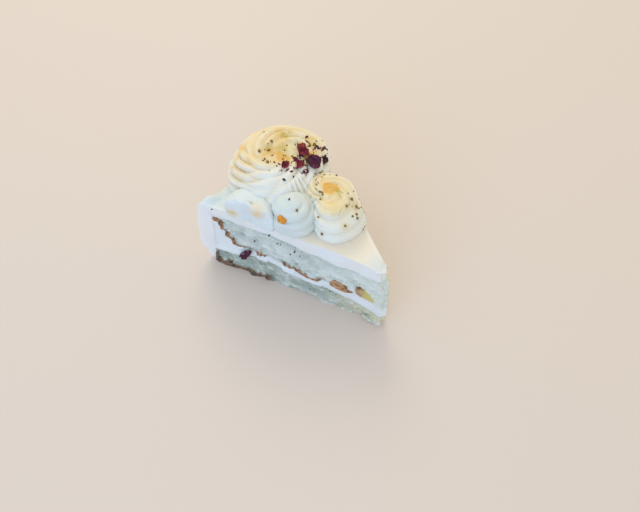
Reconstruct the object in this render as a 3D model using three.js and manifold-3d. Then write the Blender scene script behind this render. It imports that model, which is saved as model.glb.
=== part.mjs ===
// A slice of rasmalai layer cake, an eighth of a round cake about 22 cm across, standing on its base.
// Two milk-soaked sponges with whipped cream between them stand inside an L-shaped coat of the same cream,
// which covers the top and the outer wall. Piped rosettes sit on top: two whole ones on the middle
// line of the slice, and two smaller ones that the knife went through. Dried rose petals, a nut and small
// pistachio crumbs lie on them. Two milk-soaked pieces and a petal show in the filling at the cut.
//
// While it is built, the pointed end is at the origin and the round wall faces +Y. At the end the slice is
// moved so that the origin is the centre of its box, on the face it stands on. Millimetres, +Z up.

import * as THREE from "three";
import { mergeVertices } from "three/addons/utils/BufferGeometryUtils.js";
import Module from "manifold-3d";

const wasm = await Module();
wasm.setup();
const { clamp, degToRad, lerp, smoothstep } = THREE.MathUtils;

// ---------------------------------------------------------------- driving dimensions

const HALF_ANGLE = degToRad(23.4); // from the slice's middle line to each cut face
const CAKE_TOP = 59; // height of the flat cream top
const GAP = 0.3; // left between pieces that touch
const TIP_REACH = 4.6; // the soft point bulges this far past the place where the cut planes meet
const TIP_HALF_WIDTH = 3; // half the width of the blunted point
const WALL_LOW = 101.6; // inside of the cream wall at the base
const WALL_HIGH = 98.4; // inside of the cream wall under the cream top
const WALL_FLARE = 9.5; // the knife drew the wall out by this much at the left cut
const FLARE_FALL = 6; // how fast that falls off along the wall
const CUT_CURVE = 5.5; // the right cut curves in by this much on its way to the wall
const CUT_CURVE_FROM = 45; // between these distances from the point
const CUT_CURVE_TO = 72;
const CREAM_UNDER_TOP = 50; // height of the upper sponge under the rim

// Heights of the surfaces between the layers, evenly spaced from the point to the wall.
const LOWER_SPONGE_TOP = along([11.5, 13, 15.5, 17, 18.5, 21.5, 17.5, 15.5]);
const UPPER_SPONGE_BASE = along([22, 23.5, 23, 22.8, 24, 27, 26.5, 47.5]);
const UPPER_SPONGE_TOP = along([47.5, 47.5, 46.5, 48, 50, 50.5, 50, 49]);

// The outside of the cream coat in section, from the point along the top, round the rim and down the wall.
const COAT_POINT = -0.6; // the coat's point stands back from the crumbly point of the sponge
const COAT_OUTSIDE = section([
  [COAT_POINT, 59], [20, 59], [45, 59], [70, 59], [92, 59], [102.5, 58], [106.3, 54], [108, 44],
  [109.2, 33], [109.4, 22], [108.3, 11], [104.6, 0],
]);
const COAT_CORNER = 5 / 11; // the share of that line that lies on top, before it turns down the wall

// Rosettes, in the order they were piped: centre, radius, height, depth of the hollow in the middle, and
// how full the shoulders are (less is fuller); the number of ridges from the middle to the foot, how many
// of them start in the middle, where they start, and their depth as a share of the radius; how far the top
// leans, and the skin's lobes and dents as their direction, length and width.
const ROSETTES = {
  rosette_rim: {
    x: -1.6, y: 77.3, radius: 26, height: 22.5, hollow: 2.5, full: 0.72,
    ridges: 7, starts: 7, spin: 0.4, depth: 0.085, lean: [1, 1],
    lobes: [[-0.1, 3, 0.5]],
  },
  rosette_inner: {
    x: 2.2, y: 45.4, radius: 19.2, height: 20.5, hollow: 1.5, full: 1.05,
    ridges: 7, starts: 5, spin: 2.1, depth: 0.085, lean: [1.5, 1],
    lobes: [[0.35, -2.5, 0.6], [2.9, -10, 0.9], [-1.3, 3, 0.6], [-2.2, 2.5, 0.6]],
  },
  rosette_cut_outer: {
    x: -29.5, y: 68.8, radius: 15.5, height: 15.2, hollow: 0.5, full: 0.5,
    ridges: 3, starts: 2, spin: 1, depth: 0.03, lean: [1, 0],
    lobes: [[-0.6, -4.5, 0.8]],
  },
  rosette_cut_inner: {
    x: -12.5, y: 54, radius: 12.8, height: 18.5, hollow: -1, full: 0.8,
    ridges: 4, starts: 2, spin: 2.4, depth: 0.06, lean: [-0.5, 0.5],
    lobes: [[2.4, -1, 0.8]],
  },
};
const FOOT_TUCK = 0.35; // the angle by which a rosette's foot turns back under its flank

// Dried rose petals on the rosette at the rim: place, length, width, turn in plan, slope and cupping.
const PETALS = {
  petal_large: { x: 9.2, y: 71.8, long: 8.6, wide: 6.2, turn: 1.1, slope: 0.3, cup: 1.3 },
  petal_purple: { x: 9.6, y: 62.8, long: 7.2, wide: 7.2, turn: 2.2, slope: 0.4, cup: 1.1 },
  petal_pink: { x: 3.2, y: 66.6, long: 6.6, wide: 4.6, turn: -0.9, slope: 0.3, cup: 1 },
  petal_red: { x: -2.4, y: 71, long: 5, wide: 3.4, turn: 0.3, slope: 0.1, cup: 0.8 },
  petal_edge: { x: 16.9, y: 62.6, long: 4.6, wide: 3.4, turn: 3.6, slope: 0.6, cup: 0.7 },
};
const PETAL_THICKNESS = 0.7;

// Pieces that show at the left cut face: distance from the point along the cut, height, size from the middle
// out (along, up, into the cake), how far they stand out of the face, and their turn on it.
const FILLING_PIECES = {
  filling_piece_long: { t: 23.3, z: 25.2, size: [7.3, 4.6, 4.5], out: 1.5, turn: 0.12 },
  filling_piece_tip: { t: 6.2, z: 27.3, size: [8.3, 4.1, 4], out: 1.5, turn: 0.25 },
};
const FACE_PETAL = { t: 80.2, z: 22.2, long: 14.5, wide: 4.4, cup: 0.5, out: 0.2, turn: -1.05 };
const NUT = { t: 56.3, z: 72.3, size: [2.5, 2.3, 2.1], out: 1.8, turn: 0.3 }; // in a cut rosette

// Pistachio crumbs fused to a rosette: the place they gather round, how far they spread, and their number.
const CRUMBS = {
  rosette_rim: { x: 6, y: 71, spread: 14, count: 14, seed: 11 },
  rosette_inner: { x: 4, y: 43, spread: 14, count: 9, seed: 23 },
};
const CRUMB_SIZE = [1.3, 0.9, 0.8];
const CRUMB_SPACING = 3.2;

// ---------------------------------------------------------------- small helpers

// A height that follows evenly spaced values on a smooth line; share runs from 0 to 1.
function along(heights) {
  const curve = new THREE.SplineCurve(heights.map((z, i) => new THREE.Vector2(i, z)));
  return (share) => curve.getPoint(clamp(share, 0, 1)).y;
}

function section(points) {
  return new THREE.SplineCurve(points.map(([t, z]) => new THREE.Vector2(t, z)));
}

function hash(i, j, k) {
  const s = Math.sin(i * 127.1 + j * 311.7 + k * 74.7) * 43758.5453;
  return s - Math.floor(s);
}

// Smooth noise from -1 to 1, one bump for each unit of length.
function noise(x, y, z) {
  const [i, j, k] = [x, y, z].map(Math.floor);
  const [a, b, c] = [x - i, y - j, z - k].map((f) => f * f * (3 - 2 * f));
  const row = (dj, dk) => lerp(hash(i, j + dj, k + dk), hash(i + 1, j + dj, k + dk), a);
  return 2 * lerp(lerp(row(0, 0), row(1, 0), b), lerp(row(0, 1), row(1, 1), b), c) - 1;
}

// Moves every point of a geometry.
function reshape(geometry, place) {
  const p = geometry.attributes.position;
  for (let i = 0; i < p.count; i++) p.setXYZ(i, ...place(p.getX(i), p.getY(i), p.getZ(i)));
  return geometry;
}

function solidOf(geometry) {
  const bare = geometry.clone();
  bare.deleteAttribute("normal");
  bare.deleteAttribute("uv");
  const merged = mergeVertices(bare, 1e-4);
  return new wasm.Manifold(
    new wasm.Mesh({
      numProp: 3,
      vertProperties: merged.attributes.position.array,
      triVerts: new Uint32Array(merged.index.array),
    }),
  );
}

function geometryOf(solid) {
  const mesh = solid.getMesh();
  const geometry = new THREE.BufferGeometry();
  geometry.setAttribute("position", new THREE.BufferAttribute(mesh.vertProperties, 3));
  geometry.setIndex(new THREE.BufferAttribute(mesh.triVerts, 1));
  return geometry;
}

// The solid less all the cutters, without the loose scraps that a cut can leave beside it.
function cutClear(solid, cutters) {
  const left = cutters.reduce((rest, cutter) => rest.subtract(cutter), solid);
  return left.decompose().reduce((a, b) => (b.volume() > a.volume() ? b : a));
}

// ---------------------------------------------------------------- the slice's plan and its layers

// Plan position at a distance t from the point, on the side from -1, the left cut face, to 1, the right one.
// The point itself is blunt.
function spot(t, side) {
  const half =
    t > 0
      ? Math.hypot(t * Math.sin(HALF_ANGLE), TIP_HALF_WIDTH)
      : TIP_HALF_WIDTH * Math.sqrt(1 - (t / (TIP_REACH * 1.05)) ** 2);
  const swing = side * HALF_ANGLE;
  const curve = CUT_CURVE * smoothstep(t, CUT_CURVE_FROM, CUT_CURVE_TO) * Math.max(0, side) ** 2;
  return [(half * Math.sin(swing)) / Math.sin(HALF_ANGLE) - curve, t > 0 ? t * Math.cos(swing) : t];
}

// Moves a point in or out, square to the cut face that it lies on.
function raised([x, y], side, amount) {
  const reach = Math.abs(side) > 0.99 ? amount : 0;
  return [x + side * Math.cos(HALF_ANGLE) * reach, y - Math.sin(HALF_ANGLE) * reach];
}

// The torn crumb of a cut sponge: lumps of about 6 mm on slower swells.
function crumbRelief(t, z, side) {
  return 0.75 * noise(t / 5.5, z / 5.5, side * 7) + 0.5 * noise(t / 14, z / 11, side * 3 + 9);
}

// Cream that the knife has smoothed.
function creamRelief(t, z, side) {
  return 0.45 * noise(t / 9, z / 7, side * 5 + 20) - 0.1;
}

// How much nearer to the point the wall is than at the left cut face.
function wallInset(side) {
  return WALL_FLARE * (1 - ((1 - side) / 2) ** FLARE_FALL);
}

function wallAt(z, side) {
  return lerp(WALL_LOW, WALL_HIGH, clamp(z / CREAM_UNDER_TOP, 0, 1)) - GAP - wallInset(side);
}

function tipAt(z, side) {
  return -TIP_REACH + 1.6 * (0.5 + 0.5 * noise(z / 5, side * 2, 4)) + 1.2 * side * side;
}

// A block whose points are moved by place(u, side, w): u runs from the point to the wall, side from -1 at the
// left cut face to 1 at the right one, and w from the underside to the top.
function mappedBlock([alongSteps, acrossSteps, upSteps], place) {
  const block = new THREE.BoxGeometry(1, 1, 1, alongSteps, acrossSteps, upSteps);
  return reshape(block, (x, y, z) => place(x + 0.5, -2 * y, z + 0.5));
}

// A layer of the cake, from the point to the inside of the cream wall.
function layer(upSteps, base, top, relief) {
  const block = mappedBlock([24, 6, upSteps], (u, side, w) => {
    const z = lerp(base(u), top(u), w);
    const t = lerp(tipAt(z, side), wallAt(z, side), u);
    return [...raised(spot(t, side), side, relief(t, z, side)), z];
  });
  return solidOf(block);
}

function lowerSponge() {
  return layer(4, () => 0, (u) => LOWER_SPONGE_TOP(u) - GAP / 2, crumbRelief);
}

function creamFilling() {
  return layer(2, (u) => LOWER_SPONGE_TOP(u) + GAP / 2, (u) => UPPER_SPONGE_BASE(u) - GAP / 2, creamRelief);
}

function upperSponge() {
  return layer(6, (u) => UPPER_SPONGE_BASE(u) + GAP / 2, (u) => UPPER_SPONGE_TOP(u) - GAP / 2, crumbRelief);
}

// The inside of the coat lies on the upper sponge, turns the corner over it and goes down the inner wall.
function coatInside(u, side) {
  if (u <= COAT_CORNER) {
    const end = WALL_HIGH - wallInset(side);
    const t = lerp(COAT_POINT, end, u / COAT_CORNER);
    return { t, z: UPPER_SPONGE_TOP((t + TIP_REACH) / (end + TIP_REACH)) + GAP / 2 };
  }
  const z = lerp(UPPER_SPONGE_TOP(1) + GAP / 2, 0, (u - COAT_CORNER) / (1 - COAT_CORNER));
  return { t: wallAt(z, side) + GAP, z };
}

// The coat follows its section from the point to the foot of the wall. Its outside has the faint waves that
// a palette knife leaves.
function creamCoat() {
  const block = mappedBlock([33, 6, 2], (u, side, w) => {
    const inside = coatInside(u, side);
    const outside = COAT_OUTSIDE.getPoint(u);
    const z = lerp(inside.z, outside.y, w);
    const outsideT = outside.x - wallInset(side) * smoothstep(outside.x, 60, 95);
    const onWall = w * smoothstep(outside.x, 102, 107);
    const t = lerp(inside.t, outsideT, w) + onWall * 0.5 * noise(side * 3, z / 14, 2);
    return [...raised(spot(t, side), side, creamRelief(t, z, side)), z];
  });
  return solidOf(block);
}

// ---------------------------------------------------------------- rosettes

// Steps of the grid from one ridge to the next, and at least SKIN_STEPS from the middle to the foot.
const STEPS_PER_RIDGE = 3;
const SKIN_STEPS = 15;

function stepsPerRidge({ ridges }) {
  return Math.max(STEPS_PER_RIDGE, Math.ceil(SKIN_STEPS / ridges));
}

// A rosette's radius in a direction of the plan, with its lobes and dents.
function reachToward({ radius, lobes }, direction) {
  return lobes.reduce((reach, [toward, amount, width]) => {
    const turn = direction - toward;
    const nearest = Math.atan2(Math.sin(turn), Math.cos(turn));
    return reach + amount * Math.exp(-((nearest / width) ** 2));
  }, radius);
}

// A point of a rosette's skin, as its distance from the middle, its height, and the share of the lean that
// it takes. climb runs from 0 in the middle to 1 at the foot, and angle goes round clockwise.
function rosetteSkin(rosette, climb, angle, grow = 0) {
  const bend = climb * (Math.PI / 2 + FOOT_TUCK);
  const lift = Math.sin(FOOT_TUCK);
  const phase = Math.PI * rosette.ridges * climb - (rosette.starts * angle) / 2 + rosette.spin;
  const fade = smoothstep(climb, 0.03, 0.25) * (1 - 0.5 * smoothstep(climb, 0.85, 1));
  const ridge = rosette.depth * rosette.radius * (Math.abs(Math.sin(phase)) - 0.64) * fade;
  const swell = 0.6 * noise(1.5 * Math.cos(angle) + rosette.radius, 1.5 * Math.sin(angle), climb * 2);
  const out = ridge + swell * climb + grow;
  const r = reachToward(rosette, -angle) * Math.sin(bend) ** rosette.full + out * Math.sin(bend);
  const dome = (rosette.height * (Math.cos(bend) + lift)) / (1 + lift);
  const hollow = rosette.hollow * Math.exp(-((r / (0.34 * rosette.radius)) ** 2));
  const rise = clamp(dome / rosette.height, 0, 1);
  return { r, z: dome - hollow + out * Math.max(0, Math.cos(bend)), rise };
}

// The climb of a grid point, moved by less than one step so that the grid's lines run along the ridges.
function alongRidges(rosette, climb, angle) {
  const shift = (rosette.starts * angle) / 2 - rosette.spin;
  const perRidge = stepsPerRidge(rosette);
  const steps = rosette.ridges * perRidge;
  const drift = (shift * perRidge) / Math.PI;
  const held = smoothstep(climb, 0, 2 / steps) * (1 - smoothstep(climb, 1 - 2 / steps, 1));
  return climb + (held * (drift - Math.round(drift))) / steps;
}

// A rosette as a closed lathe with its skin moved into ridges, on its place on the cake. grow makes it
// slightly larger, to cut the neighbours clear.
function rosetteSolid(rosette, grow = 0) {
  const steps = rosette.ridges * stepsPerRidge(rosette);
  const profile = [new THREE.Vector2(0, -1)];
  for (let i = steps; i >= 0; i--) profile.push(new THREE.Vector2(i / steps, 0));
  const turns = Math.round(rosette.radius + 12);
  const lathe = new THREE.LatheGeometry(profile, turns).rotateX(Math.PI / 2);
  const [leanX, leanY] = rosette.lean;
  reshape(lathe, (x, y, z) => {
    const angle = Math.atan2(y, x);
    const climb = Math.hypot(x, y);
    if (z < -0.5) return [0, 0, -grow];
    const skin = rosetteSkin(rosette, alongRidges(rosette, climb, angle), angle, grow);
    const up = climb > 0.999 ? -grow : skin.z;
    return [skin.r * Math.cos(angle) + leanX * skin.rise, skin.r * Math.sin(angle) - leanY * skin.rise, up];
  });
  return clockwise(solidOf(lathe)).translate([rosette.x, rosette.y, CAKE_TOP + GAP]);
}

// The mirror image of a solid, which turns a rosette's ridges the other way.
function clockwise(solid) {
  return solid.mirror([0, 1, 0]);
}

// Height of a rosette's skin over a point of the plan.
function skinHeight(rosette, x, y) {
  const [leanX, leanY] = rosette.lean;
  let skin = rosetteSkin(rosette, 0, 0);
  for (let climb = 0; climb < 0.75; climb += 0.005) {
    const across = x - rosette.x - leanX * skin.rise;
    const ahead = y - rosette.y - leanY * skin.rise;
    skin = rosetteSkin(rosette, climb, -Math.atan2(ahead, across));
    if (skin.r > Math.hypot(across, ahead)) break;
  }
  return CAKE_TOP + GAP + skin.z;
}

// The space between the two cut planes, from below the cream top to above everything.
function betweenTheCuts() {
  const reach = 150;
  const outline = new THREE.Shape([
    new THREE.Vector2(0, -TIP_REACH),
    new THREE.Vector2(reach * Math.tan(HALF_ANGLE), reach),
    new THREE.Vector2(-reach * Math.tan(HALF_ANGLE), reach),
  ]);
  const wedge = new THREE.ExtrudeGeometry(outline, { depth: 50, bevelEnabled: false });
  return solidOf(wedge.translate(0, 0, CAKE_TOP - 5));
}

// ---------------------------------------------------------------- toppings and pieces

// A thin closed sheet: its upper and lower face share one grid and one set of diagonals.
function sheet(place) {
  const [rows, columns] = [6, 5];
  const points = [];
  for (const face of [1, 0]) {
    for (let i = 0; i < rows; i++) {
      for (let j = 0; j < columns; j++) points.push(...place(i / (rows - 1), j / (columns - 1), face));
    }
  }
  const under = rows * columns;
  const at = (i, j) => i * columns + j;
  const index = [];
  for (let i = 0; i < rows - 1; i++) {
    for (let j = 0; j < columns - 1; j++) {
      const [a, b, c, d] = [at(i, j), at(i + 1, j), at(i + 1, j + 1), at(i, j + 1)];
      index.push(a, b, c, a, c, d);
      index.push(a + under, c + under, b + under, a + under, d + under, c + under);
    }
  }
  const rim = [];
  for (let i = 0; i < rows - 1; i++) rim.push(at(i, 0));
  for (let j = 0; j < columns - 1; j++) rim.push(at(rows - 1, j));
  for (let i = rows - 1; i > 0; i--) rim.push(at(i, columns - 1));
  for (let j = columns - 1; j > 0; j--) rim.push(at(0, j));
  rim.forEach((a, i) => {
    const b = rim[(i + 1) % rim.length];
    index.push(b, a, a + under, b, a + under, b + under);
  });
  const geometry = new THREE.BufferGeometry();
  geometry.setAttribute("position", new THREE.Float32BufferAttribute(points, 3));
  geometry.setIndex(index);
  return geometry;
}

// A petal lying flat: narrow at one end, cupped and waved. Grown, it is the space that the petal needs, open
// above so that no cream is left over it.
function petal({ long, wide, cup }, grow = 0) {
  return sheet((u, v, face) => {
    const girth = Math.sin(Math.PI * (0.1 + 0.82 * u ** 0.8)) ** 0.65;
    const x = (u - 0.5) * (long + 2 * grow);
    const y = (v - 0.5) * (wide + 2 * grow) * girth;
    const curve = cup * ((2 * y) / wide) ** 2 + 0.7 * cup * ((2 * x) / long) ** 2;
    const wave = 0.35 * Math.sin(x * 1.3 + y);
    const thickness = grow ? 8 : PETAL_THICKNESS;
    return [x, y, curve + wave - grow + face * (thickness + grow)];
  });
}

// The pose of a petal that lies on a rosette, sloping down away from the rosette's middle.
function poseOnRosette({ x, y, turn, slope }, rosette) {
  const away = Math.atan2(y - rosette.y, x - rosette.x);
  const pose = new THREE.Matrix4().makeTranslation(x, y, skinHeight(rosette, x, y));
  pose.multiply(new THREE.Matrix4().makeRotationZ(away));
  pose.multiply(new THREE.Matrix4().makeRotationY(slope));
  return pose.multiply(new THREE.Matrix4().makeRotationZ(turn - away));
}

// The pose of a piece on the left cut face: its X points along the cut to the point, Y up, and Z out.
function poseOnFace({ t, z, out, turn }, depth) {
  const toPoint = new THREE.Vector3(Math.sin(HALF_ANGLE), -Math.cos(HALF_ANGLE), 0);
  const outward = new THREE.Vector3(-Math.cos(HALF_ANGLE), -Math.sin(HALF_ANGLE), 0);
  const pose = new THREE.Matrix4().makeBasis(toPoint, new THREE.Vector3(0, 0, 1), outward);
  const place = new THREE.Vector3(...spot(t, -1), z).addScaledVector(outward, out - depth);
  return pose.setPosition(place).multiply(new THREE.Matrix4().makeRotationZ(-turn));
}

// A lump with an uneven skin.
function lump(size, seed, detail, grow = 0) {
  return reshape(new THREE.IcosahedronGeometry(1, detail), (x, y, z) => {
    const swell = 1 + 0.2 * noise(x * 1.7 + seed, y * 1.7, z * 1.7);
    return [x, y, z].map((share, axis) => share * (size[axis] * swell + grow));
  });
}

// Crumbs scattered on a rosette, half sunk in its skin: repeatable random places, none too near another one,
// a neighbouring rosette or a petal.
function crumbsOn(name) {
  const rosette = ROSETTES[name];
  const { x, y, spread, count, seed } = CRUMBS[name];
  const others = Object.values(ROSETTES).filter((other) => other !== rosette);
  const taken = Object.values(PETALS).map((leaf) => [leaf.x, leaf.y, leaf.long / 2 + 1]);
  const crumbs = [];
  for (let draw = 0; crumbs.length < count && draw < 400; draw++) {
    const angle = 2 * Math.PI * hash(seed, draw, 1);
    const away = spread * Math.sqrt(hash(seed, draw, 2));
    const at = [x + away * Math.cos(angle), y + away * Math.sin(angle)];
    const onSkin = Math.hypot(at[0] - rosette.x, at[1] - rosette.y) < 0.85 * rosette.radius;
    const free = taken.every(([px, py, room]) => Math.hypot(at[0] - px, at[1] - py) > room);
    const clear = others.every((o) => Math.hypot(at[0] - o.x, at[1] - o.y) > o.radius + 2);
    if (!onSkin || !free || !clear) continue;
    taken.push([...at, CRUMB_SPACING]);
    const crumb = lump(CRUMB_SIZE, draw, 0).rotateZ(Math.PI * hash(seed, draw, 3));
    crumbs.push(solidOf(crumb.translate(...at, skinHeight(rosette, ...at) - 0.1)));
  }
  return crumbs;
}

// ---------------------------------------------------------------- cutting the pieces clear of each other

const between = betweenTheCuts();
const petalPose = (leaf) => poseOnRosette(leaf, ROSETTES.rosette_rim);
const petals = Object.entries(PETALS).map(([name, leaf]) => {
  return { name, geometry: petal(leaf).applyMatrix4(petalPose(leaf)) };
});
const petalRoom = Object.values(PETALS).map((leaf) => {
  return solidOf(petal(leaf, GAP).applyMatrix4(petalPose(leaf)));
});

const nutPose = poseOnFace(NUT, NUT.size[2]);
const nut = lump(NUT.size, 5, 1).applyMatrix4(nutPose);
const nutRoom = solidOf(lump(NUT.size, 5, 1, GAP * 1.3).applyMatrix4(nutPose));

const facePetalPose = poseOnFace(FACE_PETAL, 0);
const facePetal = petal(FACE_PETAL).applyMatrix4(facePetalPose);
const inFace = Object.entries(FILLING_PIECES).map(([name, piece], i) => {
  const pose = poseOnFace(piece, piece.size[2]);
  const room = solidOf(lump(piece.size, i, 2, GAP * 1.3).applyMatrix4(pose));
  return { name, geometry: lump(piece.size, i, 2).applyMatrix4(pose), room };
});
const faceRoom = inFace.map(({ room }) => room);
faceRoom.push(solidOf(petal(FACE_PETAL, GAP).applyMatrix4(facePetalPose)));

// Each rosette keeps what the ones piped before it, the petals and the nut leave of it.
function pipedRosettes() {
  const finished = {};
  const before = [];
  for (const [name, rosette] of Object.entries(ROSETTES)) {
    const crumbs = CRUMBS[name] ? crumbsOn(name) : [];
    const whole = crumbs.reduce((solid, crumb) => solid.add(crumb), rosetteSolid(rosette));
    finished[name] = cutClear(whole.intersect(between), [...before, ...petalRoom, nutRoom]);
    before.push(rosetteSolid(rosette, GAP));
  }
  return finished;
}

// ---------------------------------------------------------------- assembly

const LOOKS = {
  sponge: { color: "#e9e4d2", roughness: 0.9 },
  cream: { color: "#f4f2ea", roughness: 0.45 },
  saffron_cream: { color: "#f6e6bf", roughness: 0.45 },
  petal: { color: "#6e1230", roughness: 0.7 },
  soaked: { color: "#b98a5c", roughness: 0.6 },
  nut: { color: "#c8861f", roughness: 0.5 },
};

const slice = new THREE.Group();
slice.name = "rasmalai_cake_slice";

function add(name, geometry, look) {
  const mesh = new THREE.Mesh(geometry, new THREE.MeshStandardMaterial({ metalness: 0, ...LOOKS[look] }));
  mesh.name = name;
  slice.add(mesh);
}

add("lower_sponge", geometryOf(cutClear(lowerSponge(), faceRoom)), "sponge");
add("cream_filling", geometryOf(cutClear(creamFilling(), faceRoom)), "cream");
add("upper_sponge", geometryOf(cutClear(upperSponge(), faceRoom)), "sponge");
add("cream_coat", geometryOf(creamCoat()), "cream");
for (const [name, solid] of Object.entries(pipedRosettes())) add(name, geometryOf(solid), "saffron_cream");
for (const { name, geometry } of petals) add(name, geometry, "petal");
for (const { name, geometry } of inFace) add(name, geometry, "soaked");
add("petal_in_filling", facePetal, "petal");
add("nut_piece", nut, "nut");

// The slice's box is centred over the origin, with its base at height 0.
const box = new THREE.Box3().setFromObject(slice);
slice.position.set(-(box.min.x + box.max.x) / 2, -(box.min.y + box.max.y) / 2, -box.min.z);

export default slice;
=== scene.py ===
# A slice of rasmalai layer cake: two milk-soaked sponges, whipped cream, piped saffron rosettes, dried rose
# petals and pistachio crumbs.
#
# Shapes are worked out in millimetres in the slice's own frame: the pointed end at the origin, the round wall
# towards +Y, +Z up. mesh_piece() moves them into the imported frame, in metres.

import math

import bpy
import numpy as np
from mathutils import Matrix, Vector


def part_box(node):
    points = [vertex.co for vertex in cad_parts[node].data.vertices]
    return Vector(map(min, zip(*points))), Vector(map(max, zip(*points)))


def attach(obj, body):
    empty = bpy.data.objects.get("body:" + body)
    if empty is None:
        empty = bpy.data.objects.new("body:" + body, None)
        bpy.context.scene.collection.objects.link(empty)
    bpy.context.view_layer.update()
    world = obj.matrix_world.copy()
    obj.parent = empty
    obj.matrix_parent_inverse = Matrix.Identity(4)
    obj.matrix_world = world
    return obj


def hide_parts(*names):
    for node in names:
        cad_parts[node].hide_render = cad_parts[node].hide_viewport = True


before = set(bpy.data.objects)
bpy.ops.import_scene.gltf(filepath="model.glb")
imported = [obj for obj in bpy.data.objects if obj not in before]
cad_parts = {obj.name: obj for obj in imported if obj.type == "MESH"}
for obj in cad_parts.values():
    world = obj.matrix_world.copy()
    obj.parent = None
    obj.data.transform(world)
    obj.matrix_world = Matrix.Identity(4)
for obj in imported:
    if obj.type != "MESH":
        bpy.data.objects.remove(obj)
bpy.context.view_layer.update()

MM = 0.001
COAT_POINT = -0.6  # where the cream coat starts, behind the crumbly point
POINT_ACROSS = 4.62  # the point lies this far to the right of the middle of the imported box
APEX = np.array([POINT_ACROSS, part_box("cream_coat")[0].y / MM - COAT_POINT, 0.0])

# ---------------------------------------------------------------- driving sizes, in millimetres

HALF_ANGLE = math.radians(23.4)
CAKE_TOP = 59.0
GAP = 0.3
TIP_REACH = 4.6
TIP_HALF_WIDTH = 3.0
WALL_LOW, WALL_HIGH = 101.6, 98.4
WALL_FLARE = 9.5  # the knife drew the wall out by this much at the left cut
FLARE_FALL = 6  # how fast that falls off along the wall
CUT_CURVE = 5.5  # the right cut curves in by this much on its way to the wall
CUT_CURVE_FROM, CUT_CURVE_TO = 45.0, 72.0  # between these distances from the point
CREAM_UNDER_TOP = 50.0
LOWER_SPONGE_TOP = [11.5, 13, 15.5, 17, 18.5, 21.5, 17.5, 15.5]
UPPER_SPONGE_BASE = [22, 23.5, 23, 22.8, 24, 27, 26.5, 47.5]
UPPER_SPONGE_TOP = [47.5, 47.5, 46.5, 48, 50, 50.5, 50, 49]
COAT_OUTSIDE = [
    (COAT_POINT, 59), (20, 59), (45, 59), (70, 59), (92, 59), (102.5, 58), (106.3, 54), (108, 44),
    (109.2, 33), (109.4, 22), (108.3, 11), (104.6, 0),
]
COAT_CORNER = 5 / 11  # the share of the outline at which the inside turns down
COAT_WALL = (6.2 / 11, 7 / 11)  # between these shares the top goes over into the wall
LIP_HEIGHT = 3.2  # the top is drawn up at the rim, near the left cut
LIP_FROM, LIP_TO = 98.0, 104.0
LIP_SIDE, LIP_WIDTH = -0.9, 0.09
LAYER_OVERLAP = 0.7  # cream reaches this far over the edge of the sponge beside it
CRUST_PROUD = 1.0  # the tough browned skin stands out of the cut
CRUST_BY_WALL = (78.0, 84.0)  # the upper crust is whole beyond these distances from the point
CRUST_PATCHES = (30.0, 38.0)  # and in patches beyond these
CRUST_MIDDLE, MIDDLE_REACH = 46.0, (13.0, 10.0)  # it is also whole for a stretch in the middle
FOOT_CRUST, FOOT_CRUST_FROM = 4.6, (62.0, 68.0)  # how high the lower crust is, and from where it shows
CORNER_ANGLE = math.radians(65)  # edges of the layers that turn by more than this are shaded as corners

FOOT_TUCK = 0.35
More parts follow.
